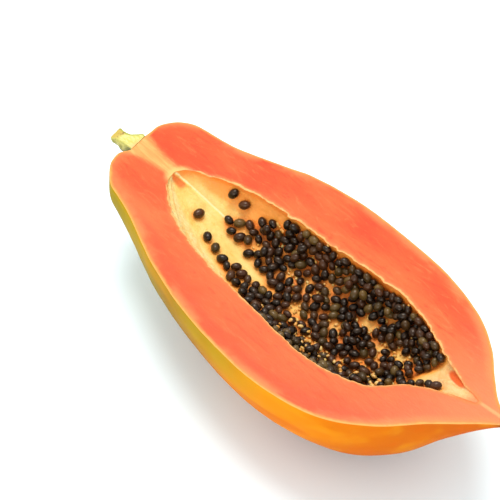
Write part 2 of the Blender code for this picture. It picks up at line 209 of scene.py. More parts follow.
# Bare patches of lining among the seeds: (distance along, degrees, radius)
BARE = (
    (0.0885, 62.0, 0.0034), (0.0980, 65.0, 0.0038), (0.1005, 27.0, 0.0032), (0.1085, 42.5, 0.0032),
    (0.1070, 88.0, 0.0050), (0.1150, 89.5, 0.0050), (0.1230, 90.5, 0.0042), (0.1235, 66.5, 0.0038),
    (0.1230, 81.0, 0.0032), (0.1345, 60.0, 0.0046), (0.1425, 90.0, 0.0052), (0.1515, 101.5, 0.0036),
    (0.1585, 103.5, 0.0038), (0.1640, 102.0, 0.0044), (0.1415, 64.0, 0.0034), (0.1460, 48.5, 0.0040),
    (0.1730, 55.0, 0.0056), (0.1775, 54.5, 0.0052), (0.1850, 36.0, 0.0034), (0.1920, 63.5, 0.0038),
    (0.2020, 60.0, 0.0044), (0.2090, 61.0, 0.0046), (0.2035, 36.0, 0.0032), (0.1735, 99.5, 0.0040),
    (0.1655, 79.0, 0.0036), (0.1915, 88.5, 0.0036), (0.2000, 89.0, 0.0038), (0.1950, 78.0, 0.0034),
    (0.1955, 97.0, 0.0034), (0.1270, 29.0, 0.0034), (0.1310, 112.0, 0.0034), (0.1820, 95.0, 0.0032),
)

# Bare patches without crumbs of pulp, by their distance along
CLEAN = (0.1070, 0.1150, 0.1230)

# Crumbs of pulp, as drawn in each patch, among the seeds and by the near rim: how many, how far along and
# round, and how high over the wall
CRUMBS_PER_PATCH, CRUMB_RISE, CRUMB_TIP = 6, (0.0004, 0.0011), 0.2
CRUMBS_AMONG_SEEDS, AMONG_ALONG, AMONG_DEGREES = 110, (0.090, 0.226), (3.0, 176.0)
CRUMBS_BY_RIM, RIM_ALONG, RIM_DEGREES = 80, (0.146, 0.214), (94.0, 130.0)
RIM_CRUMB_RISE, RIM_CRUMB_TIP, RIM_CRUMB_SIZE = (0.0020, 0.0044), 0.5, 1.15
CRUMB_BODY = {
    "Length": 0.0024,
    "Width": 0.0016,
    "Smallest": 0.6,
    "Largest": 1.2,
    "Around": 8,
    "Along": 6,
    "Dent Size": 0.0014,
    "Dent Depth": 0.0006,
    "Seed": 9,
}

# Stalk stub, cut lengthwise above its middle: (distance along, sideways, half-width at the cut, depth)
STALK = (
    (0.0078, -0.0049, 0.0066, 0.0070),
    (0.0057, -0.0048, 0.0066, 0.0081),
    (0.0030, -0.0065, 0.0051, 0.0085),
    (0.0000, -0.0081, 0.0039, 0.0082),
    (-0.0032, -0.0087, 0.0039, 0.0067),
    (-0.0058, -0.0095, 0.0047, 0.0058),
    (-0.0069, -0.0097, 0.0047, 0.0045),
)
STALK_ACROSS = (0.34, -0.94)
STALK_SIDES, STALK_STEPS = 48, 6
STALK_RIBS, STALK_RIB_HEIGHT = 5, 0.05
STALK_FACE_DROP = 0.0004
STALK_ROUGHNESS = 0.00030

# How the stalk closes: shares of its width inside the fruit, and (share, millimetres out) at its broken end
STALK_CLOSING = (0.0, 0.55)
BROKEN_END = ((0.985, 0.10), (0.94, 0.20), (0.80, 0.30), (0.55, 0.34), (0.28, 0.36), (0.0, 0.36))

# Pale core of the flesh below the stalk: (share of the way to the cavity, half-width)
CORE_WIDTHS = ((0.00, 0.0086), (0.35, 0.0052), (0.75, 0.0034), (1.00, 0.0042))

# Orange slot in the lining near the tip: where it is, its half-length and half-width and how it leans
SLOT_ALONG, SLOT_SIDEWAYS = 0.2430, 0.0092
SLOT_HALF_LENGTH, SLOT_HALF_WIDTH, SLOT_LEAN = 0.0064, 0.0018, 0.28

# The lamps are strong for a white floor, so every surface but the floor reflects this share of its colour
SURFACE_SHARE = 0.76
FLOOR_REACH = 6.0

# The photograph's viewing angle, found by fitting the outline: metres, degrees and millimetres
CAMERA_TARGET, CAMERA_DISTANCE = (0.11317, -0.01217, 0), 0.9
CAMERA_AZIMUTH, CAMERA_ELEVATION = -39.388, 43.539
SENSOR_WIDTH, FOCAL_LENGTH = 36, 126.35


@lru_cache(maxsize=None)
def catmull_rom(points, steps=24):
    """A smooth curve through the points, as rows of the same kind of values."""
    p = np.array(points, float)
    p = np.vstack([2 * p[0] - p[1], p, 2 * p[-1] - p[-2]])
    t = np.linspace(0, 1, steps, endpoint=False)[:, None]
    rows = [
        0.5 * (2 * b + (c - a) * t + (2 * a - 5 * b + 4 * c - d) * t**2 + (3 * b - a - 3 * c + d) * t**3)
        for a, b, c, d in zip(p, p[1:], p[2:], p[3:])
    ]
    return np.vstack([*rows, p[-2]])


def along(table, x):
    curve = catmull_rom(table)
    return np.interp(x, curve[:, 0], curve[:, 1])


def smooth_step(x):
    x = np.clip(x, 0.0, 1.0)
    return x * x * (3 - 2 * x)


def closed_stations(table, first, last):
    """Stations evenly along the outline, from one pole to the other."""
    curve = np.vstack([first, catmull_rom(table), last])
    run = np.concatenate([[0], np.cumsum(np.linalg.norm(np.diff(curve, axis=0), axis=1))])
    t = np.linspace(0, run[-1], STATIONS + 1)
    return np.column_stack([np.interp(t, run, column) for column in curve.T])


def rough(points, size, octaves=3, shift=0.0):
    """Seamless roughness between about -1 and 1 at each point, with bumps of about the given size."""
    offset = Vector((shift, 2 * shift, 3 * shift))
    flat = points.reshape(-1, 3) / size
    values = [noise.fractal(Vector(p) + offset, 1.0, 2.0, octaves) for p in flat]
    return np.array(values).reshape(points.shape[:-1])


def skin_grid():
    """Points of the skin, station by station, from the far rim under the belly to the near rim."""
    (first_x, _, first_y), (last_x, _, last_y) = OUTLINE[0], OUTLINE[-1]
    stations = closed_stations(OUTLINE, (first_x, 0, first_y), (last_x, 0, last_y))
    x, radius, middle = (column[:, None] for column in stations.T)
    angle = -math.pi * np.arange(SKIN_SIDES + 1) / SKIN_SIDES
    lobe = 1 + np.interp(x, *zip(*LOBE_HEIGHT)) * np.cos(LOBES * (angle + math.pi / 2))
    ease = smooth_step(1 - x / LEAN_ENDS)

    def at(reach):
        lean = HOLLOW_SLOPE * np.minimum(reach, LEAN_FULL) * ease
        sideways = reach * np.cos(angle)
        return np.stack([x - lean * np.cos(angle), middle + sideways, reach * np.sin(angle)], axis=-1)

    reach = radius * lobe
    smooth = at(reach)
    dents = BROAD_DENTS * rough(smooth, 0.030) + FINE_DENTS * rough(smooth, 0.008, shift=7.0) - SKIN_INSET
    return at(reach + dents * smooth_step(radius / 0.012))


def ridge_rise(angle):
    """Height of the placental ridges at angles in degrees down from the far rim."""
    return sum(RIDGE_HEIGHT * np.exp(-(((angle - ridge) / RIDGE_SPREAD) ** 2)) for ridge in RIDGE_ANGLES)


def cavity_points(x, half_width, angle, rise=0.0):
    """Points on the cavity wall, raised from it towards the middle by rise."""
    a = np.radians(angle)
    reach = half_width - ridge_rise(angle) * smooth_step(half_width / RIDGE_FULL_FROM) - rise
    c, s = np.cos(a), np.clip(np.sin(a), 0, 1)
    return np.stack(
        [
            x + 0 * reach,
            along(CAVITY_CENTRE, x) + reach * np.sign(c) * np.abs(c) ** CAVITY_SQUARENESS,
            -np.interp(x, *zip(*CAVITY_DEPTH)) * reach * s**CAVITY_SQUARENESS,
        ],
        axis=-1,
    )


def strand_offset(angle, half_width):
    """Distance round the wall from the strand of pulp that runs down from the stalk's end."""
    return np.radians(angle - STRAND_ANGLE) * half_width


def cavity_grid():
    """Points of the lining, with its wrinkles, its torn edge and the strand that runs down from the stalk."""
    x, width = closed_stations(CAVITY, (CAVITY[0][0] - 0.0002, 0), (CAVITY[-1][0] + 0.0003, 0)).T
    x, width = x[:, None], width[:, None]
    angle = 180.0 * np.arange(CAVITY_SIDES + 1) / CAVITY_SIDES
    smooth = cavity_points(x, width, angle)
    rise = WRINKLE_HEIGHT * rough(smooth * np.array([0.45, 1.0, 1.0]), 0.0065)
    rise = rise + CREASE_HEIGHT * rough(smooth, 0.0022, shift=3.0)
    lumps = np.clip(rough(smooth, 0.0026, 2, shift=11.0), 0, 1)
    strand = np.exp(-((strand_offset(angle, width) / STRAND_WIDTH) ** 2))
    strand = strand * (STRAND_HEIGHT + STRAND_LUMPS * lumps)
    rise = rise + strand * smooth_step((x - 0.043) / 0.006) * smooth_step((0.082 - x) / 0.012)
    frills = np.clip(rough(smooth * np.array([1, 0.3, 0.3]), 0.0055, 4, shift=23.0) + 0.05, 0, 1)
    from_rim = np.minimum(angle, 180 - angle)
    edge = np.exp(-((from_rim / 5.0) ** 2)) * np.where(angle < 90, 1.0, 0.45)
    rise = rise + edge * FRILL_HEIGHT * frills
    return cavity_points(x, width, angle, rise * smooth_step(width / 0.008))


def loop_of(grid):
    """The rim of a grid as one loop: out along its far edge and back along its near edge."""
    return np.vstack([grid[:, 0], grid[-2:0:-1, -1]])


def distance_to_loop(points, loop):
    """Shortest distance of each point to the closed loop's segments, in the cut plane."""
    starts, ends = loop[:, :2], np.roll(loop, -1, axis=0)[:, :2]
    spans = ends - starts
    lengths = np.maximum((spans**2).sum(1), 1e-12)
    found = np.empty(len(points))
    for first in range(0, len(points), POINTS_AT_ONCE):
        part = points[first : first + POINTS_AT_ONCE, None, :2]
        t = np.clip(((part - starts) * spans).sum(2) / lengths, 0, 1)
        gap = part - (starts + t[..., None] * spans)
        found[first : first + POINTS_AT_ONCE] = np.sqrt((gap**2).sum(2)).min(1)
    return found


def index_grid(loop_indices, sides, first_free):
    """Vertex numbers of a grid whose two long edges and two poles are on a loop, the rest counted on."""
    n = STATIONS
    grid = np.empty((n + 1, sides + 1), int)
    grid[1:n, 1:sides] = first_free + np.arange((n - 1) * (sides - 1)).reshape(n - 1, sides - 1)
    grid[:, 0] = loop_indices[: n + 1]
    grid[1:n, sides] = loop_indices[-1:n:-1]
    grid[0, :] = loop_indices[0]
    grid[n, :] = loop_indices[n]
    return grid


def grid_faces(grid, closed=False):
    """Quads between neighbouring rows of vertex numbers, with triangles where corners meet."""
    ahead = np.roll(grid, -1, axis=0) if closed else grid[1:]
    here = grid if closed else grid[:-1]
    quads = np.stack([here[:, :-1], ahead[:, :-1], ahead[:, 1:], here[:, 1:]], axis=-1).reshape(-1, 4)
    faces = []
    for quad in quads.tolist():
        corners = list(dict.fromkeys(quad))
        if len(corners) > 2:
            faces.append(corners)
    return faces


def mesh_object(name, points, faces, materials=(), face_materials=None):
    mesh = bpy.data.meshes.new(name)
    mesh.from_pydata([tuple(p) for p in points], [], faces)
    for finish in materials:
        mesh.materials.append(finish)
    if face_materials is not None:
        mesh.polygons.foreach_set("material_index", face_materials)
    made = bpy.data.objects.new(name, mesh)
    bpy.context.scene.collection.objects.link(made)
    bm = bmesh.new()
    bm.from_mesh(mesh)
    bmesh.ops.recalc_face_normals(bm, faces=bm.faces)
    bm.to_mesh(mesh)
    bm.free()
    mesh.shade_smooth()
    return made


def give_attribute(made, name, values):
    layer = made.data.attributes.new(name, "FLOAT", "POINT")
    layer.data.foreach_set("value", np.asarray(values, dtype=np.float32))


def juice_and_shade_near(points, seed_centres):
    """How strongly nearby seeds tint each point, 0 to 1: partly with their juice, partly as painted contact
    shade round and between them.
    """
    found = np.empty(len(points))
    centres = np.array(seed_centres)
    for first in range(0, len(points), POINTS_AT_ONCE):
        gap = ((points[first : first + POINTS_AT_ONCE, None, :] - centres) ** 2).sum(2)
        found[first : first + POINTS_AT_ONCE] = np.exp(-gap / JUICE_AND_SHADE_REACH**2).sum(1)
    return 1 - np.exp(-JUICE_AND_SHADE_STRENGTH * found)


def make_fruit(shift, hull, skin, inside, seed_centres):
    """One closed mesh: skin, cut face and lining, with the measures that its materials need."""
    hollow = cavity_grid()
    hull[..., 2] = np.maximum(hull[..., 2], cad_box[0].z - cad_box[1].z)
    outer, inner = loop_of(hull), loop_of(hollow)
    t = 0.5 * (1 - np.cos(math.pi * np.arange(FACE_STRIPS + 1) / FACE_STRIPS))[:, None]
    face = outer[:, None] * (1 - t) + inner[:, None] * t
    flat = face.reshape(-1, 3)
    from_skin, from_cavity = distance_to_loop(flat, outer), distance_to_loop(flat, inner)
    waves = FACE_WAVES * (rough(flat * np.array([1, 0.35, 1]), 0.009, shift=4.0) - 1.0)
    drop = SKIN_EDGE_DROP * (1 - np.clip(from_skin / SKIN_EDGE_ROUND, 0, 1)) ** 2
    soft = smooth_step(np.interp(flat[:, 0], *zip(*CAVITY)) / 0.010)
    drop += LINING_EDGE_DROP * soft * (1 - np.clip(from_cavity / LINING_EDGE_ROUND, 0, 1)) ** 2
    flat[:, 2] = waves - drop
    face = flat.reshape(face.shape)

    count, n = len(outer), STATIONS
    face_ids = np.empty((count, FACE_STRIPS + 1), int)
    face_ids[:, 0], face_ids[:, -1] = np.arange(count), count + np.arange(count)
    free = 2 * count
    face_ids[:, 1:-1] = free + np.arange(count * (FACE_STRIPS - 1)).reshape(count, -1)
    free += count * (FACE_STRIPS - 1)
    hull_ids = index_grid(face_ids[:, 0], SKIN_SIDES, free)
    free += (n - 1) * (SKIN_SIDES - 1)
    hollow_ids = index_grid(face_ids[:, -1], CAVITY_SIDES, free)
    hull_inner = hull[1:n, 1:SKIN_SIDES].reshape(-1, 3)
    hollow_inner = hollow[1:n, 1:CAVITY_SIDES].reshape(-1, 3)
    points = np.vstack([face[:, 0], face[:, -1], face[:, 1:-1].reshape(-1, 3), hull_inner, hollow_inner])

    skin_faces = grid_faces(hull_ids)
    inside_faces = grid_faces(face_ids, closed=True) + grid_faces(hollow_ids)
    slots = [0] * len(skin_faces) + [1] * len(inside_faces)
    fruit = mesh_object("papaya_half", points + shift, skin_faces + inside_faces, (skin, inside), slots)
    fruit.data.set_sharp_from_angle(angle=SHARP_FROM)

    def measure(name, on_face, on_hull, on_hollow):
        """Gives every vertex its value, in the order of the points. One number may serve a whole part."""
        grid = (on_face + np.zeros(len(flat))).reshape(count, -1)
        rest = on_hull + np.zeros(len(hull_inner)), on_hollow + np.zeros(len(hollow_inner))
        give_attribute(fruit, name, np.concatenate([grid[:, 0], grid[:, -1], grid[:, 1:-1].ravel(), *rest]))

    far_rim, near_rim = (
        np.repeat(hollow[1:n, [side]], CAVITY_SIDES - 1, axis=1).reshape(-1, 3) for side in (0, -1)
    )
    on_far_side = hollow_inner[:, 1] > along(CAVITY_CENTRE, hollow_inner[:, 0])
    below_rim = np.linalg.norm(hollow_inner - np.where(on_far_side[:, None], far_rim, near_rim), axis=1)
    angle = 180.0 * np.arange(1, CAVITY_SIDES) / CAVITY_SIDES + np.zeros((n - 1, 1))
    strand = strand_offset(angle, along(CAVITY, hollow[1:n, :1, 0]))
    off = 50.0  # millimetres, past every band that the materials paint
    measure("from_skin", from_skin / MM, 0, off)
    measure("from_cavity", from_cavity / MM, off, -below_rim / MM)
    measure("strand", off, off, strand.ravel() / MM)
    measure("turn", 0, 0, angle.ravel())
    # Juice tint and painted contact shade of the seeds on the lining
    give_attribute(fruit, "juice_and_shade", juice_and_shade_near(points, seed_centres))
    return fruit


def wall_at(x, angle):
    """Point and inward normal of the smooth cavity wall."""
    here, ahead = (cavity_points(v, along(CAVITY, v), angle) for v in (x, x + 0.0005))
    round_wall = cavity_points(x, along(CAVITY, x), angle + 1.0)
    normal = np.cross(round_wall - here, ahead - here)
    normal /= np.linalg.norm(normal)
    middle = np.array([x, along(CAVITY_CENTRE, x), 0.0])
    return here, normal if normal @ (middle - here) > 0 else -normal


def seed_lie(rng, normal, tip=0.75):
    """A seed's long axis: roughly along the wall, turned at random and tipped a little."""
    up = Vector(normal)
    flat = Matrix.Rotation(rng.uniform(0, math.tau), 3, up) @ up.orthogonal().normalized()
    return (flat + up * rng.uniform(-tip, tip)).normalized()


def half_height(normal, lie):
    lean = float(np.dot(normal, lie))
    return 0.5 * math.sqrt((SEED_LENGTH * lean) ** 2 + SEED_WIDTH**2 * (1 - lean**2))


def seed_places(rng):
    """Every seed as (centre, long axis): the single ones, a packed layer and a second one lying on it."""
    angles, first, last = zip(*SEEDED)
    bare = [(wall_at(x, angle)[0], radius) for x, angle, radius in BARE]
    found = []
    for x, angle in SINGLE_SEEDS:
        wall, normal = wall_at(x, angle)
        lie = seed_lie(rng, normal, SINGLE_TIP)
        found.append((wall + normal * (half_height(normal, lie) - SINGLE_SINK), lie))
    centres = np.array([centre for centre, _ in found])
    for layer, draws, spacing in ((0, SEED_DRAWS, SEED_SPACING), (1, SECOND_DRAWS, SECOND_SPACING)):
        reach, turn = (min(first), max(last)), (angles[0], angles[-1])
        spots = sorted((rng.uniform(*reach), rng.uniform(*turn)) for _ in range(draws))
        inset, clear = SECOND_INSET * layer, 1.0 + SECOND_CLEARANCE * layer
        for x, angle in spots:
            if not np.interp(angle, angles, first) + inset < x < np.interp(angle, angles, last) - inset:
                continue
            wall, normal = wall_at(x, angle)
            if any(((wall - spot) ** 2).sum() < (radius * clear) ** 2 for spot, radius in bare):
                continue
            limit = FAR_LIMIT if angle < FAR_BAND_ENDS else NEAR_LIMIT
            if layer and noise.noise(Vector(wall) * HEAPS_PER_METRE) < limit:
                continue
            lie = seed_lie(rng, normal)
            centre = wall + normal * (half_height(normal, lie) - SEED_SINK + layer * SECOND_RISE)
            if centre[2] + half_height((0, 0, 1), lie) > -SEED_SINK:
                continue
            if ((centres - centre) ** 2).sum(1).min() > (spacing * np.interp(x, *zip(*SEED_SIZE))) ** 2:
                found.append((centre, lie))
                centres = np.vstack([centres, centre])
    return found


def set_input(tree, socket, value):
    """Links another node's output to the socket, or sets a plain value on it."""
    if isinstance(value, bpy.types.NodeSocket):
        tree.links.new(value, socket)
    else:
        socket.default_value = value


def add_node(tree, kind, *values, **settings):
    """A new node with its settings made and its inputs filled."""
    made = tree.nodes.new(kind)
    for key, value in settings.items():
        setattr(made, key, value)
    for key, value in values:
        set_input(tree, made.inputs[key], value)
    return made


def scatter_tree():
    """Geometry Nodes: a rounded, uneven body on every point, turned as it says and varied by chance."""
    tree = bpy.data.node_groups.new("bodies on points", "GeometryNodeTree")
    sockets = (
        ("Points", "Geometry", None),
        ("Length", "Float", SEED_LENGTH),
        ("Width", "Float", SEED_WIDTH),
        ("Around", "Int", 9),
        ("Along", "Int", 7),
        ("Smallest", "Float", 0.85),
        ("Largest", "Float", 1.12),
        ("Taper", "Float", 0.12),
        ("Dent Size", "Float", 0.003),
        ("Dent Depth", "Float", 0.0002),
        ("Seed", "Int", 1),
        ("Material", "Material", None),
    )
    for name, kind, default in sockets:
        socket = tree.interface.new_socket(name, in_out="INPUT", socket_type=f"NodeSocket{kind}")
        if default is not None:
            socket.default_value = default
    tree.interface.new_socket("Bodies", in_out="OUTPUT", socket_type="NodeSocketGeometry")
    given = tree.nodes.new("NodeGroupInput").outputs
    node = partial(add_node, tree)

    def number(operation, a, b):
        return node("ShaderNodeMath", (0, a), (1, b), operation=operation).outputs[0]

    def vector(operation, a, b, key=1):
        return node("ShaderNodeVectorMath", (0, a), (key, b), operation=operation).outputs[0]

    def chance(low, high, offset):
        seed = number("ADD", given["Seed"], offset)
        made = node("FunctionNodeRandomValue", (2, low), (3, high), ("Seed", seed), data_type="FLOAT")
        return made.outputs[1]

    def on_point(name, kind):
        return node("GeometryNodeInputNamedAttribute", ("Name", name), data_type=kind).outputs["Attribute"]

    rounds = ("Segments", given["Around"]), ("Rings", given["Along"])
    ball = node("GeometryNodeMeshUVSphere", *rounds, ("Radius", 0.5))
    place = node("GeometryNodeInputPosition").outputs[0]
    height = node("ShaderNodeSeparateXYZ", (0, place)).outputs["Z"]
    share = number("SUBTRACT", 1.0, number("MULTIPLY", height, given["Taper"]))
    width = given["Width"]
    size = node("ShaderNodeCombineXYZ", (0, width), (1, width), (2, given["Length"])).outputs[0]
    shaped = vector("MULTIPLY", vector("SCALE", place, share, "Scale"), size)
    body = node("GeometryNodeSetPosition", ("Geometry", ball.outputs["Mesh"]), ("Position", shaped))
    turned = node("FunctionNodeEulerToRotation", (0, on_point("turn", "FLOAT_VECTOR"))).outputs[0]
    varied = number("MULTIPLY", on_point("size", "FLOAT"), chance(given["Smallest"], given["Largest"], 0))
    placed = node(
        "GeometryNodeInstanceOnPoints",
        ("Points", given["Points"]),
        ("Instance", body.outputs[0]),
        ("Rotation", turned),
        ("Scale", varied),
    )
    toned = node(
        "GeometryNodeStoreNamedAttribute",
        ("Geometry", placed.outputs[0]),
        ("Name", "tone"),
        ("Value", chance(0.0, 1.0, 1)),
        data_type="FLOAT",
        domain="INSTANCE",
    )
    real = node("GeometryNodeRealizeInstances", ("Geometry", toned.outputs[0]))
    scale = number("DIVIDE", 1.0, given["Dent Size"])
    dents = node("ShaderNodeTexNoise", ("Scale", scale), ("Detail", 1.0)).outputs["Color"]
    moved = vector("SCALE", vector("SUBTRACT", dents, (0.5, 0.5, 0.5)), given["Dent Depth"], "Scale")
    uneven = node("GeometryNodeSetPosition", ("Geometry", real.outputs[0]), ("Offset", moved))
    smooth = node("GeometryNodeSetShadeSmooth", ("Geometry", uneven.outputs[0]))
    coated = node("GeometryNodeSetMaterial", ("Geometry", smooth.outputs[0]), ("Material", given["Material"]))
    node("NodeGroupOutput", (0, coated.outputs[0]))
    return tree


def scatter(name, tree, places, sizes, values):
    """Runs the tree on points with the given lie and size and keeps the result as a plain mesh."""
    mesh = bpy.data.meshes.new(name)
    mesh.from_pydata([tuple(centre) for centre, _ in places], [], [])
    turns = [tuple(Vector(lie).to_track_quat("Z", "Y").to_euler()) for _, lie in places]
    layer = mesh.attributes.new("turn", "FLOAT_VECTOR", "POINT")
    layer.data.foreach_set("vector", np.array(turns, dtype=np.float32).ravel())
    layer = mesh.attributes.new("size", "FLOAT", "POINT")
    layer.data.foreach_set("value", np.asarray(sizes, dtype=np.float32))
    made = bpy.data.objects.new(name, mesh)
    bpy.context.scene.collection.objects.link(made)
    step = made.modifiers.new("scatter", "NODES")
    step.node_group = tree
    for socket in tree.interface.items_tree:
        if socket.item_type == "SOCKET" and socket.in_out == "INPUT" and socket.name in values:
            step[socket.identifier] = values[socket.name]
    evaluated = made.evaluated_get(bpy.context.evaluated_depsgraph_get())
    result = bpy.data.meshes.new_from_object(evaluated)
    made.modifiers.remove(step)
    made.data = result
    return made


def crumb_places(rng, shift):
    """Crumbs of pulp in bare patches, among seeds and by the near rim: (centre, long axis) and size of each."""
    spots = []
    for x, angle, radius in BARE:
        if x in CLEAN:
            continue
        reach = math.degrees(radius / max(along(CAVITY, x), 0.01))
        for _ in range(CRUMBS_PER_PATCH):
            spots.append((x + rng.uniform(-1, 1) * radius, angle + reach * rng.uniform(-1, 1)))
    angles, first, last = zip(*SEEDED)
    for _ in range(CRUMBS_AMONG_SEEDS):
        x, angle = rng.uniform(*AMONG_ALONG), rng.uniform(*AMONG_DEGREES)
        if np.interp(angle, angles, first) < x < np.interp(angle, angles, last):
            spots.append((x, angle))

    def crumb(x, angle, rise, tip):
        wall, normal = wall_at(x, angle)
        return Vector(wall + normal * rng.uniform(*rise)) + shift, seed_lie(rng, normal, tip)

    places = [crumb(x, angle, CRUMB_RISE, CRUMB_TIP) for x, angle in spots]
    for _ in range(CRUMBS_BY_RIM):
        x, angle = rng.uniform(*RIM_ALONG), rng.uniform(*RIM_DEGREES)
        places.append(crumb(x, angle, RIM_CRUMB_RISE, RIM_CRUMB_TIP))
    return places, [1.0] * len(spots) + [RIM_CRUMB_SIZE] * CRUMBS_BY_RIM


def make_stalk(shift, finish):
    """The stalk stub, with its ribbed round side, flat cut face and rough broken end."""
    rows = catmull_rom(STALK, STALK_STEPS)
    closing = [rows[0] * (1, 1, share, share) for share in STALK_CLOSING]
    broken = [rows[-1] * (1, 1, share, share) - (out * MM, 0, 0, 0) for share, out in BROKEN_END]
    rows = np.vstack([*closing, rows, *broken])
    rows[:, 2:] = np.maximum(rows[:, 2:], 1e-7)
    x, side, half_width, depth = (column[:, None] for column in rows.T)
    radius = (half_width**2 + depth**2) / (2 * depth)
    above_middle = depth - radius
    start = np.arctan2(above_middle, half_width)
    turn = (math.pi + 2 * start) * np.arange(STALK_SIDES + 1) / STALK_SIDES - start
    ribs = np.cos(STALK_RIBS * (turn - math.pi / 2)) * np.maximum(np.sin(turn), 0)
    reach = radius * (1 + STALK_RIB_HEIGHT * ribs)
    flat = half_width * np.linspace(1, -1, STALK_SIDES // 2 + 1)[1:-1]
    out = np.hstack([-reach * np.cos(turn), flat])
    up = np.hstack([-above_middle - reach * np.sin(turn), 0 * flat])
    across = np.array(STALK_ACROSS) / math.hypot(*STALK_ACROSS)
    points = np.stack([x + across[0] * out, side + across[1] * out, up - STALK_FACE_DROP], axis=-1)
    bumps = STALK_ROUGHNESS * rough(points, 0.0032, 3, shift=31.0)[..., None]
    away = points - np.stack([x + 0 * out, side + 0 * out, 0 * out - 0.003], axis=-1)
    away /= np.maximum(np.linalg.norm(away, axis=2, keepdims=True), 1e-6)
    points = points + away * bumps * smooth_step((STALK[0][0] - 0.0040 - x[..., None]) / 0.003)
    points[..., 2] = np.minimum(points[..., 2], -STALK_FACE_DROP * 0.5)
    count, sides = points.shape[:2]
    ids = np.arange(count * sides).reshape(count, sides)
    ids[0], ids[-1] = ids[0, 0], ids[-1, 0]
    ring = np.column_stack([ids, ids[:, :1]])
    made = mesh_object("stalk_stub", points.reshape(-1, 3) + shift, grid_faces(ring), (finish,))
    give_attribute(made, "half_width", (half_width + 0 * out).ravel() / MM)
    give_attribute(made, "across", np.abs(out).ravel() / MM)
    bm = bmesh.new()
    bm.from_mesh(made.data)
    bmesh.ops.delete(bm, geom=[v for v in bm.verts if not v.link_faces], context="VERTS")
    bm.to_mesh(made.data)
    bm.free()
    made.data.set_sharp_from_angle(angle=SHARP_FROM)
    return made


class Finish:
    """A material under construction: short calls that add shader nodes and give back their outputs."""

    def __init__(self, name, shift=Vector()):
        self.material = bpy.data.materials.new(name)
        self.material.use_nodes = True
        self.tree = self.material.node_tree
        self.shader = self.tree.nodes["Principled BSDF"]
        place = self.tree.nodes.new("ShaderNodeTexCoord").outputs["Object"]
        self.place = self.node("ShaderNodeMapping", ("Vector", place), ("Location", tuple(-shift))).outputs[0]
        self.x, self.y, self.z = self.node("ShaderNodeSeparateXYZ", (0, self.place)).outputs

    def node(self, kind, *values, **settings):
        return add_node(self.tree, kind, *values, **settings)

    def math(self, operation, a, b=0.0):
        return self.node("ShaderNodeMath", (0, a), (1, b), operation=operation).outputs[0]

    def times(self, *values):
        return reduce(lambda a, b: self.math("MULTIPLY", a, b), values)

    def apart(self, a, b):
        return self.math("ABSOLUTE", self.math("SUBTRACT", a, b))

    def sway(self, value, cloud, amount):
        """The value moved up or down by a cloudy noise, by half the amount at most."""
        return self.math("ADD", value, self.times(self.math("SUBTRACT", cloud, 0.5), amount))

    def value(self, name):
        return self.node("ShaderNodeAttribute", attribute_name=name).outputs["Fac"]

    def between(self, value, low, high, smooth=True):
        """0 where value is at low, 1 where it is at high."""
        made = self.node("ShaderNodeMapRange", ("Value", value), ("From Min", low), ("From Max", high))
        made.interpolation_type = "SMOOTHSTEP" if smooth else "LINEAR"
        return made.outputs[0]

    def spread(self, value, first, last):
        """first where value is 0, last where it is 1."""
        made = self.node("ShaderNodeMapRange", ("Value", value), ("To Min", first), ("To Max", last))
        return made.outputs[0]

    def spots(self, size, detail=3.0, roughness=0.55, stretch=(1, 1, 1), distortion=0.0):
        """Cloudy noise about 0.5, with patches of the given size in metres."""
        stretched = self.node("ShaderNodeVectorMath", (0, self.place), (1, stretch), operation="MULTIPLY")
        return self.node(
            "ShaderNodeTexNoise",
            ("Vector", stretched.outputs[0]),
            ("Scale", 1 / size),
            ("Detail", detail),
            ("Roughness", roughness),
            ("Distortion", distortion),
        ).outputs["Fac"]

    def mix(self, share, a, b):
        return self.node("ShaderNodeMix", (0, share), (6, a), (7, b), data_type="RGBA").outputs[2]

    def over(self, below, colour, *shares):
        """The colour laid over what is below it, as strongly as the shares multiplied together say."""
        return self.mix(self.times(*shares), below, colour)

    def ramp(self, value, *stops):
        made = self.node("ShaderNodeValToRGB", (0, value))
        ends = made.color_ramp.elements
        for _ in stops[2:]:
            ends.new(0.5)
        for element, (position, colour) in zip(ends, stops):
            element.position = position
            element.color = colour
        return made.outputs[0]

    def bump(self, height, depth, below=None):
        values = [("Height", height), ("Distance", depth), ("Strength", 1.0)]
        if below is not None:
            values.append(("Normal", below))
        return self.node("ShaderNodeBump", *values).outputs[0]

    def done(self, **sockets):
        for name, value in sockets.items():
            set_input(self.tree, self.shader.inputs[name.replace("_", " ")], value)
        return self.material


def tint(red, green, blue, share=SURFACE_SHARE):
    """An sRGB colour, 0 to 255 a channel, as the linear one that a shader takes, darkened to its share."""
    channels = [c / 255 for c in (red, green, blue)]
    linear = (c / 12.92 if c <= 0.04045 else ((c + 0.055) / 1.055) ** 2.4 for c in channels)
    return (*(c * share for c in linear), 1)


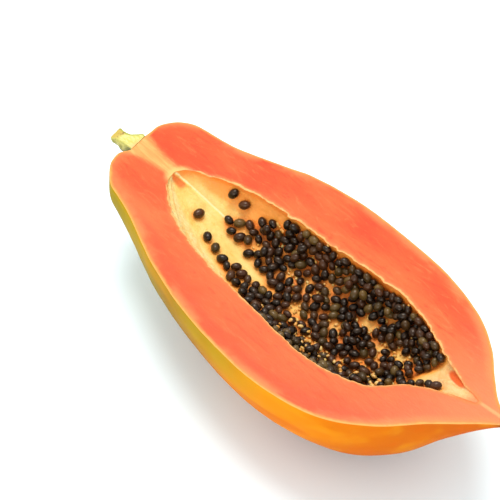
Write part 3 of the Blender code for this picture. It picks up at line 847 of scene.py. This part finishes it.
def flesh_colour(f, from_skin, from_cavity, fine):
    """Coral in clouds and fibres, paler under the skin, in the stalk's core, to the tip and at the rim."""
    broad = f.spots(0.030, 3, 0.5, (0.6, 1, 1))
    fibres = f.spots(0.0045, 5, 0.65, (0.25, 1, 1), 1.6)
    corals = (0.30, tint(248, 70, 27)), (0.50, tint(250, 86, 35)), (0.70, tint(251, 102, 46))
    colour = f.ramp(broad, *corals)
    by_cavity = f.between(from_cavity, 17.0, 5.0), f.between(f.x, 0.070, 0.100)
    colour = f.over(colour, tint(252, 122, 58), *by_cavity, 0.40)
    colour = f.over(colour, tint(253, 124, 66), f.between(fibres, 0.52, 0.74), 0.7)
    colour = f.over(colour, tint(244, 66, 27), f.between(fibres, 0.47, 0.30), 0.7)
    colour = f.over(colour, tint(252, 138, 88), f.between(f.x, 0.205, 0.272), 0.7)
    colour = f.over(colour, tint(251, 104, 58), f.between(f.y, -0.010, -0.050), 0.30)
    shoulder = f.between(f.y, -0.026, -0.037), f.between(f.x, 0.082, 0.055)
    colour = f.over(colour, tint(253, 146, 80), *shoulder, 0.35)
    flush = (
        f.between(from_skin, 12.0, 7.0),
        f.between(from_skin, 2.0, 4.0),
        f.between(f.y, -0.030, -0.045),
        f.between(broad, 0.40, 0.58),
    )
    colour = f.over(colour, tint(246, 76, 42), *flush, 0.45)
    under_skin = f.sway(from_skin, fine, 1.6)
    patchy = f.between(f.spots(0.024, 3, 0.5), 0.38, 0.62)
    colour = f.over(colour, tint(253, 142, 80), f.between(under_skin, 6.5, 1.5), patchy, 0.75)
    colour = f.over(colour, tint(253, 144, 68), f.between(under_skin, 2.2, 0.8))
    colour = f.over(colour, tint(255, 172, 84), f.between(under_skin, 1.0, 0.3))

    core_widths = ((x, (half_width, half_width, half_width, 1)) for x, half_width in CORE_WIDTHS)
    core_half = f.ramp(f.between(f.x, 0.006, 0.046, False), *core_widths)
    core_middle = f.spread(f.between(f.x, 0.008, 0.044, False), -0.0062, -0.0046)
    off_core = f.sway(f.math("SUBTRACT", f.apart(f.y, core_middle), core_half), fibres, 0.0060)
    strands = f.spots(0.0030, 4, 0.6, (0.12, 1, 1), 0.4)
    pales = (0.30, tint(252, 148, 74)), (0.50, tint(253, 170, 92)), (0.68, tint(254, 194, 114))
    core = f.ramp(strands, *pales)
    colour = f.over(colour, core, f.between(off_core, 0.0030, -0.0024), f.between(f.x, 0.056, 0.040))
    apex = f.between(from_cavity, 5.0, 0.5), f.between(f.x, 0.052, 0.042), f.between(off_core, 0.0060, 0.0010)
    colour = f.over(colour, tint(254, 206, 122), *apex, 0.7)

    tip_middle = f.spread(f.between(f.x, 0.250, 0.281, False), 0.0040, 0.0074)
    off_line = f.sway(f.apart(f.y, tip_middle), fine, 0.0012)
    tip_line = f.between(off_line, 0.0016, 0.0003), f.between(f.x, 0.254, 0.260)
    colour = f.over(colour, tint(253, 174, 110), *tip_line, 0.8)

    edge = f.sway(from_cavity, f.spots(0.0065, 4, 0.65), 3.0)
    colour = f.over(colour, tint(252, 130, 64), f.between(edge, 2.8, 0.9), f.between(f.x, 0.044, 0.058), 0.7)
    rim_line = f.between(edge, 1.1, 0.4), f.between(f.x, 0.256, 0.244), f.between(f.x, 0.0430, 0.0480)
    return f.over(colour, tint(254, 182, 108), *rim_line)


def lining_colour(f, from_cavity, fine):
    """Yellow lining, rosy on the far side, amber round the seeds (partly juice, partly painted contact shade),
    with the pale strand and orange slot, painted shade under the far lip and beside the strand, and a paler
    near wall that is partly painted light.
    """
    turn, strand, juice_and_shade = f.value("turn"), f.value("strand"), f.value("juice_and_shade")
    patches = f.spots(0.010, 4, 0.6, (0.6, 1, 1))
    yellows = (0.30, tint(252, 196, 92)), (0.48, tint(255, 216, 118)), (0.66, tint(255, 230, 142))
    colour = f.ramp(patches, *yellows)
    colour = f.over(colour, tint(253, 192, 84), f.between(fine, 0.58, 0.76))
    # Paler cream on the near wall: partly the lining's own paler colour there, partly painted light
    pale_lining_and_painted_light = f.mix(f.between(fine, 0.4, 0.6), tint(255, 212, 128), tint(255, 232, 160))
    colour = f.over(colour, pale_lining_and_painted_light, f.between(turn, 108.0, 122.0), f.between(f.x, 0.160, 0.120))
    wedge = f.mix(f.between(fine, 0.36, 0.66), tint(254, 188, 116), tint(255, 212, 146))
    wedge = f.over(wedge, tint(252, 146, 90), f.between(f.x, 0.251, 0.260))
    colour = f.over(colour, wedge, f.between(f.x, 0.222, 0.236))
    far_side = f.between(f.sway(turn, patches, 40.0), 58.0, 34.0)
    ends = f.between(f.x, 0.228, 0.216), f.between(f.x, 0.042, 0.060)
    colour = f.over(colour, tint(255, 158, 70, 0.95), far_side, *ends, 0.85)
    # Painted shade under the far lip: the lining just below the far rim turns a deeper orange
    lip_painted_shade = f.between(f.sway(from_cavity, f.spots(0.004, 3, 0.6), 4.0), -6.5, -1.8)
    lip = lip_painted_shade, f.between(turn, 90.0, 60.0), f.between(f.x, 0.232, 0.220)
    colour = f.over(colour, tint(255, 142, 56, 0.95), *lip, 0.85)
    # Painted shade in amber along one side of the raised strand
    strand_side_painted_shade = f.between(strand, -6.0, -0.4), f.between(strand, 0.4, -0.4), f.between(f.x, 0.085, 0.055)
    colour = f.over(colour, tint(250, 176, 92), *strand_side_painted_shade, 0.5)
    on_strand = f.between(f.math("ABSOLUTE", f.sway(strand, fine, 1.2)), 0.9, 0.3)
    colour = f.over(colour, tint(255, 240, 176), on_strand, f.between(f.x, 0.082, 0.070), 0.9)
    hole = f.between(strand, 0.6, 1.8), f.between(strand, 6.2, 3.6), f.between(f.x, 0.0474, 0.0448)
    colour = f.over(colour, tint(244, 122, 52), *hole, 0.9)
    # Amber round the seeds is partly juice and partly painted contact shade; the deep orange where seeds crowd
    # is painted shade in the gaps between them
    amber = f.mix(f.between(patches, 0.35, 0.65), tint(253, 136, 40, 0.9), tint(255, 172, 66, 0.9))
    colour = f.over(colour, amber, f.between(juice_and_shade, 0.12, 0.72), 0.88)
    colour = f.over(colour, tint(234, 92, 14), f.between(juice_and_shade, 0.55, 0.98), 0.65)
    past_middle = f.math("SUBTRACT", f.x, SLOT_ALONG)
    slot_line = f.math("SUBTRACT", SLOT_SIDEWAYS, f.times(past_middle, SLOT_LEAN))
    slot_x = f.math("DIVIDE", past_middle, SLOT_HALF_LENGTH)
    slot_y = f.math("DIVIDE", f.math("SUBTRACT", f.y, slot_line), SLOT_HALF_WIDTH)
    slot = f.math("ADD", f.times(slot_x, slot_x), f.times(slot_y, slot_y))
    return f.over(colour, tint(242, 104, 36), f.between(slot, 1.6, 0.6))


def cut_flesh_finish(shift):
    """Moist flesh of the cut face and the wrinkled lining of the cavity, which meet at its rim."""
    f = Finish("papaya flesh and lining", shift)
    from_skin, from_cavity = f.value("from_skin"), f.value("from_cavity")
    fine = f.spots(0.0032, 4, 0.6, (0.55, 1, 1), 0.6)
    flesh, lining = flesh_colour(f, from_skin, from_cavity, fine), lining_colour(f, from_cavity, fine)
    normal = f.bump(f.math("ADD", fine, f.times(f.spots(0.0011, 3, 0.6), 0.5)), 0.00022)
    normal = f.bump(f.times(f.spots(0.0016, 4, 0.6), f.between(from_cavity, 0.3, -1.0)), 0.0005, normal)
    return f.done(
        Base_Color=f.mix(f.between(from_cavity, -0.9, 0.1), lining, flesh),
        Roughness=f.spread(f.between(f.spots(0.007, 4, 0.6), 0.30, 0.70, False), 0.38, 0.55),
        Normal=normal,
        Subsurface_Weight=0.06,
        Subsurface_Radius=(1.0, 0.35, 0.12),
        Subsurface_Scale=0.003,
        Specular_IOR_Level=0.28,
    )


def skin_finish(shift):
    """Thin smooth skin: olive by the stalk, golden down the sides, orange on the belly, brown at the tip, with
    painted shade part way along and under the belly.
    """
    f = Finish("papaya skin", shift)
    clouds = f.spots(0.045, 4, 0.55, (0.45, 1, 1), 0.4)
    streaks = f.spots(0.011, 2, 0.4, (0.07, 0.8, 0.8))
    ripeness_and_shade = f.sway(f.sway(f.x, clouds, 0.11), streaks, 0.035)
    ripeness_and_shade = f.math("ADD", ripeness_and_shade, f.times(f.between(f.z, 0.0, -0.050, False), 0.030))
    # Colours from stalk to tip; the olive-brown stops at 0.36 and 0.50 are darkened as painted shade part way
    # along the fruit
    colour = f.ramp(
        f.between(ripeness_and_shade, 0.000, 0.280, False),
        (0.05, tint(148, 136, 32)),
        (0.20, tint(192, 150, 26)),
        (0.36, tint(172, 118, 12)),
        (0.50, tint(188, 122, 8)),
        (0.63, tint(236, 148, 6)),
        (0.76, tint(248, 144, 4)),
        (0.92, tint(224, 112, 3)),
        (1.00, tint(214, 100, 12)),
    )
    colour = f.over(colour, tint(250, 172, 24), f.between(streaks, 0.50, 0.68), 0.35)
    deeper = f.between(streaks, 0.48, 0.34), f.between(f.x, 0.120, 0.190)
    colour = f.over(colour, tint(228, 100, 6), *deeper, 0.55)
    green = f.between(streaks, 0.52, 0.34), f.between(f.x, 0.170, 0.020)
    colour = f.over(colour, tint(118, 120, 32), *green, 0.7)
    band = f.between(f.z, -0.022, -0.004), f.between(f.x, 0.200, 0.150), f.between(clouds, 0.30, 0.55)
    colour = f.over(colour, tint(190, 156, 20), *band, 0.75)
    warm = f.between(f.z, -0.026, -0.052), f.between(clouds, 0.36, 0.60)
    colour = f.over(colour, tint(216, 88, 6), *warm, 0.60)
    # Painted shade on the underside of the belly
    under = f.between(f.z, -0.034, -0.058), f.between(f.x, 0.130, 0.190)
    colour = f.over(colour, tint(166, 72, 3), *under, 0.8)
    colour = f.over(colour, tint(190, 112, 18), f.between(f.spots(0.0016, 2, 0.5), 0.66, 0.74), 0.25)
    colour = f.over(colour, tint(88, 56, 24), f.between(f.sway(f.x, streaks, 0.006), 0.2755, 0.2808))
    dimple = f.between(f.apart(f.y, -0.0050), 0.0165, 0.0085), f.between(f.x, 0.016, 0.011)
    colour = f.over(colour, tint(120, 126, 38), *dimple, 0.6)
    return f.done(
        Base_Color=colour,
        Roughness=f.spread(f.spots(0.012, 4, 0.6), 0.42, 0.58),
        Normal=f.bump(streaks, 0.0006, f.bump(f.spots(0.0011, 3, 0.6), 0.00006)),
        Specular_IOR_Level=0.03,
    )


def seed_finish(shift):
    """Wet seed coats, nearly black, with a few brown and olive ones."""
    f = Finish("papaya seed coat", shift)
    tone, cloud = f.value("tone"), f.spots(0.0022, 3, 0.6)
    colour = f.ramp(
        tone,
        (0.00, tint(15, 8, 5)),
        (0.45, tint(30, 16, 9)),
        (0.70, tint(74, 40, 20)),
        (0.86, tint(66, 50, 22)),
        (1.00, tint(112, 86, 42)),
    )
    colour = f.over(colour, tint(98, 62, 34), f.between(cloud, 0.50, 0.76), 0.5)
    near_rim = f.between(f.y, -0.021, -0.029), f.between(f.x, 0.140, 0.165)
    colour = f.over(colour, tint(110, 88, 48), *near_rim, f.between(tone, 0.15, 0.60), 0.7)
    return f.done(
        Base_Color=colour,
        Roughness=f.spread(cloud, 0.22, 0.42),
        Normal=f.bump(f.spots(0.0009, 3, 0.6), 0.00012),
        Coat_Weight=0.22,
        Coat_Roughness=0.14,
        Specular_IOR_Level=0.28,
        Specular_Tint=(1.0, 0.80, 0.60, 1),
    )


def pulp_finish():
    """Soft crumbs of pulp, cream to amber."""
    f = Finish("papaya pulp")
    tints = (0.0, tint(248, 168, 72)), (0.5, tint(252, 196, 98)), (1.0, tint(253, 214, 132))
    colour = f.ramp(f.value("tone"), *tints)
    colour = f.over(colour, tint(236, 144, 48), f.between(f.spots(0.0015, 3, 0.6), 0.48, 0.66))
    return f.done(
        Base_Color=colour,
        Roughness=0.36,
        Normal=f.bump(f.spots(0.0007, 3, 0.6), 0.00015),
        Subsurface_Weight=0.2,
        Subsurface_Radius=(1.0, 0.5, 0.2),
        Subsurface_Scale=0.002,
    )


def stalk_finish(shift):
    """Pale cut face with a green edge, olive and tan bark, and brown bruises at the broken end."""
    f = Finish("papaya stalk", shift)
    grain = f.spots(0.0012, 4, 0.6, (0.35, 1, 1))
    blotch = f.spots(0.0032, 3, 0.6)
    face = f.mix(f.between(grain, 0.40, 0.64), tint(214, 206, 94), tint(238, 230, 144))
    face = f.over(face, tint(253, 200, 124), f.between(f.x, 0.0040, 0.0100))
    face = f.over(face, tint(206, 178, 72), f.between(f.x, -0.0012, -0.0048))
    from_edge = f.sway(f.math("SUBTRACT", f.value("half_width"), f.value("across")), grain, 1.4)
    green_edge = f.between(from_edge, 1.6, 0.5), f.between(f.y, -0.0085, -0.0055)
    face = f.over(face, tint(142, 158, 44), *green_edge)
    face = f.over(face, tint(196, 190, 92), f.between(from_edge, 0.9, 0.3))
    bark = f.mix(f.between(blotch, 0.38, 0.62), tint(168, 160, 70), tint(222, 210, 120))
    bark = f.over(bark, tint(150, 120, 66), f.between(f.z, -0.0030, -0.0068))
    bark = f.over(bark, tint(150, 140, 62), f.between(f.x, 0.0030, 0.0080))
    colour = f.over(bark, face, f.between(f.z, -0.0012, -0.0007))
    bruise = f.between(blotch, 0.54, 0.64), f.between(f.x, 0.000, -0.0045)
    colour = f.over(colour, tint(134, 82, 34), *bruise, 0.85)
    return f.done(
        Base_Color=colour,
        Roughness=0.55,
        Normal=f.bump(grain, 0.00025),
        Subsurface_Weight=0.08,
        Subsurface_Radius=(0.8, 0.7, 0.2),
        Subsurface_Scale=0.002,
    )


def area_light(name, place, target, size, power, colour=(1, 1, 1)):
    lamp = bpy.data.lights.new(name, "AREA")
    lamp.shape = "DISK"
    lamp.size = size
    lamp.energy = power
    lamp.color = colour
    made = bpy.data.objects.new(name, lamp)
    made.location = place
    made.rotation_euler = (Vector(target) - Vector(place)).to_track_quat("-Z", "Y").to_euler()
    bpy.context.scene.collection.objects.link(made)


def set_stage():
    """A pale floor under soft studio light."""
    f = Finish("pale floor")
    clouds = f.between(f.spots(0.2, 2, 0.5), 0.3, 0.7)
    finish = f.done(Base_Color=f.mix(clouds, tint(231, 249, 254, 1), tint(235, 250, 255, 1)), Roughness=0.8)
    corners = [(x * FLOOR_REACH, y * FLOOR_REACH, 0) for x, y in ((-1, -1), (1, -1), (1, 1), (-1, 1))]
    mesh_object("floor", corners, [(0, 1, 2, 3)], (finish,))
    world = bpy.data.worlds.new("studio")
    world.use_nodes = True
    sky = world.node_tree.nodes["Background"].inputs
    sky["Color"].default_value = (1.0, 0.99, 0.98, 1)
    sky["Strength"].default_value = 0.98
    bpy.context.scene.world = world
    area_light("key", (-0.28, 0.16, 1.44), (0, 0, 0), size=0.8, power=15.5, colour=(1.0, 0.99, 0.975))
    area_light("fill", (0.75, -1.15, 0.55), (0, 0, 0.03), size=1.1, power=8.5)


def set_camera(shift):
    """The photograph's viewing angle, with no lens shift."""
    azimuth, elevation = math.radians(CAMERA_AZIMUTH), math.radians(CAMERA_ELEVATION)
    back = Vector((
        math.cos(elevation) * math.cos(azimuth),
        math.cos(elevation) * math.sin(azimuth),
        math.sin(elevation),
    ))
    lens = bpy.data.cameras.new("camera")
    lens.sensor_width, lens.lens = SENSOR_WIDTH, FOCAL_LENGTH
    made = bpy.data.objects.new("camera", lens)
    made.location = shift + Vector(CAMERA_TARGET) + back * CAMERA_DISTANCE
    made.rotation_euler = (-back).to_track_quat("-Z", "Y").to_euler()
    bpy.context.scene.collection.objects.link(made)
    bpy.context.scene.camera = made


def main():
    rng = random.Random(RANDOM_START)
    low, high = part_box("fruit_half")
    hull = skin_grid()
    middle = (hull.min((0, 1)) + hull.max((0, 1))) / 2
    shift = Vector(((low.x + high.x) / 2 - middle[0], (low.y + high.y) / 2 - middle[1], high.z))
    places = seed_places(rng)
    centres = [centre for centre, _ in places]
    fruit = make_fruit(np.array(shift), hull, skin_finish(shift), cut_flesh_finish(shift), centres)
    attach(fruit, "root")
    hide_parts("fruit_half")

    tree = scatter_tree()
    moved = [(Vector(centre) + shift, lie) for centre, lie in places]
    sizes = np.interp([centre[0] for centre in centres], *zip(*SEED_SIZE))
    seeds = scatter("seeds", tree, moved, sizes, {"Material": seed_finish(shift), "Seed": 3})
    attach(seeds, "root")
    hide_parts("seed_mass")

    moved, sizes = crumb_places(rng, shift)
    crumbs = scatter("pulp_crumbs", tree, moved, sizes, {"Material": pulp_finish(), **CRUMB_BODY})
    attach(crumbs, "root")

    stalk = make_stalk(np.array(shift), stalk_finish(shift))
    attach(stalk, "root")
    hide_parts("stalk")

    set_stage()
    set_camera(shift)
    bpy.context.scene.view_settings.view_transform = "Standard"


main()
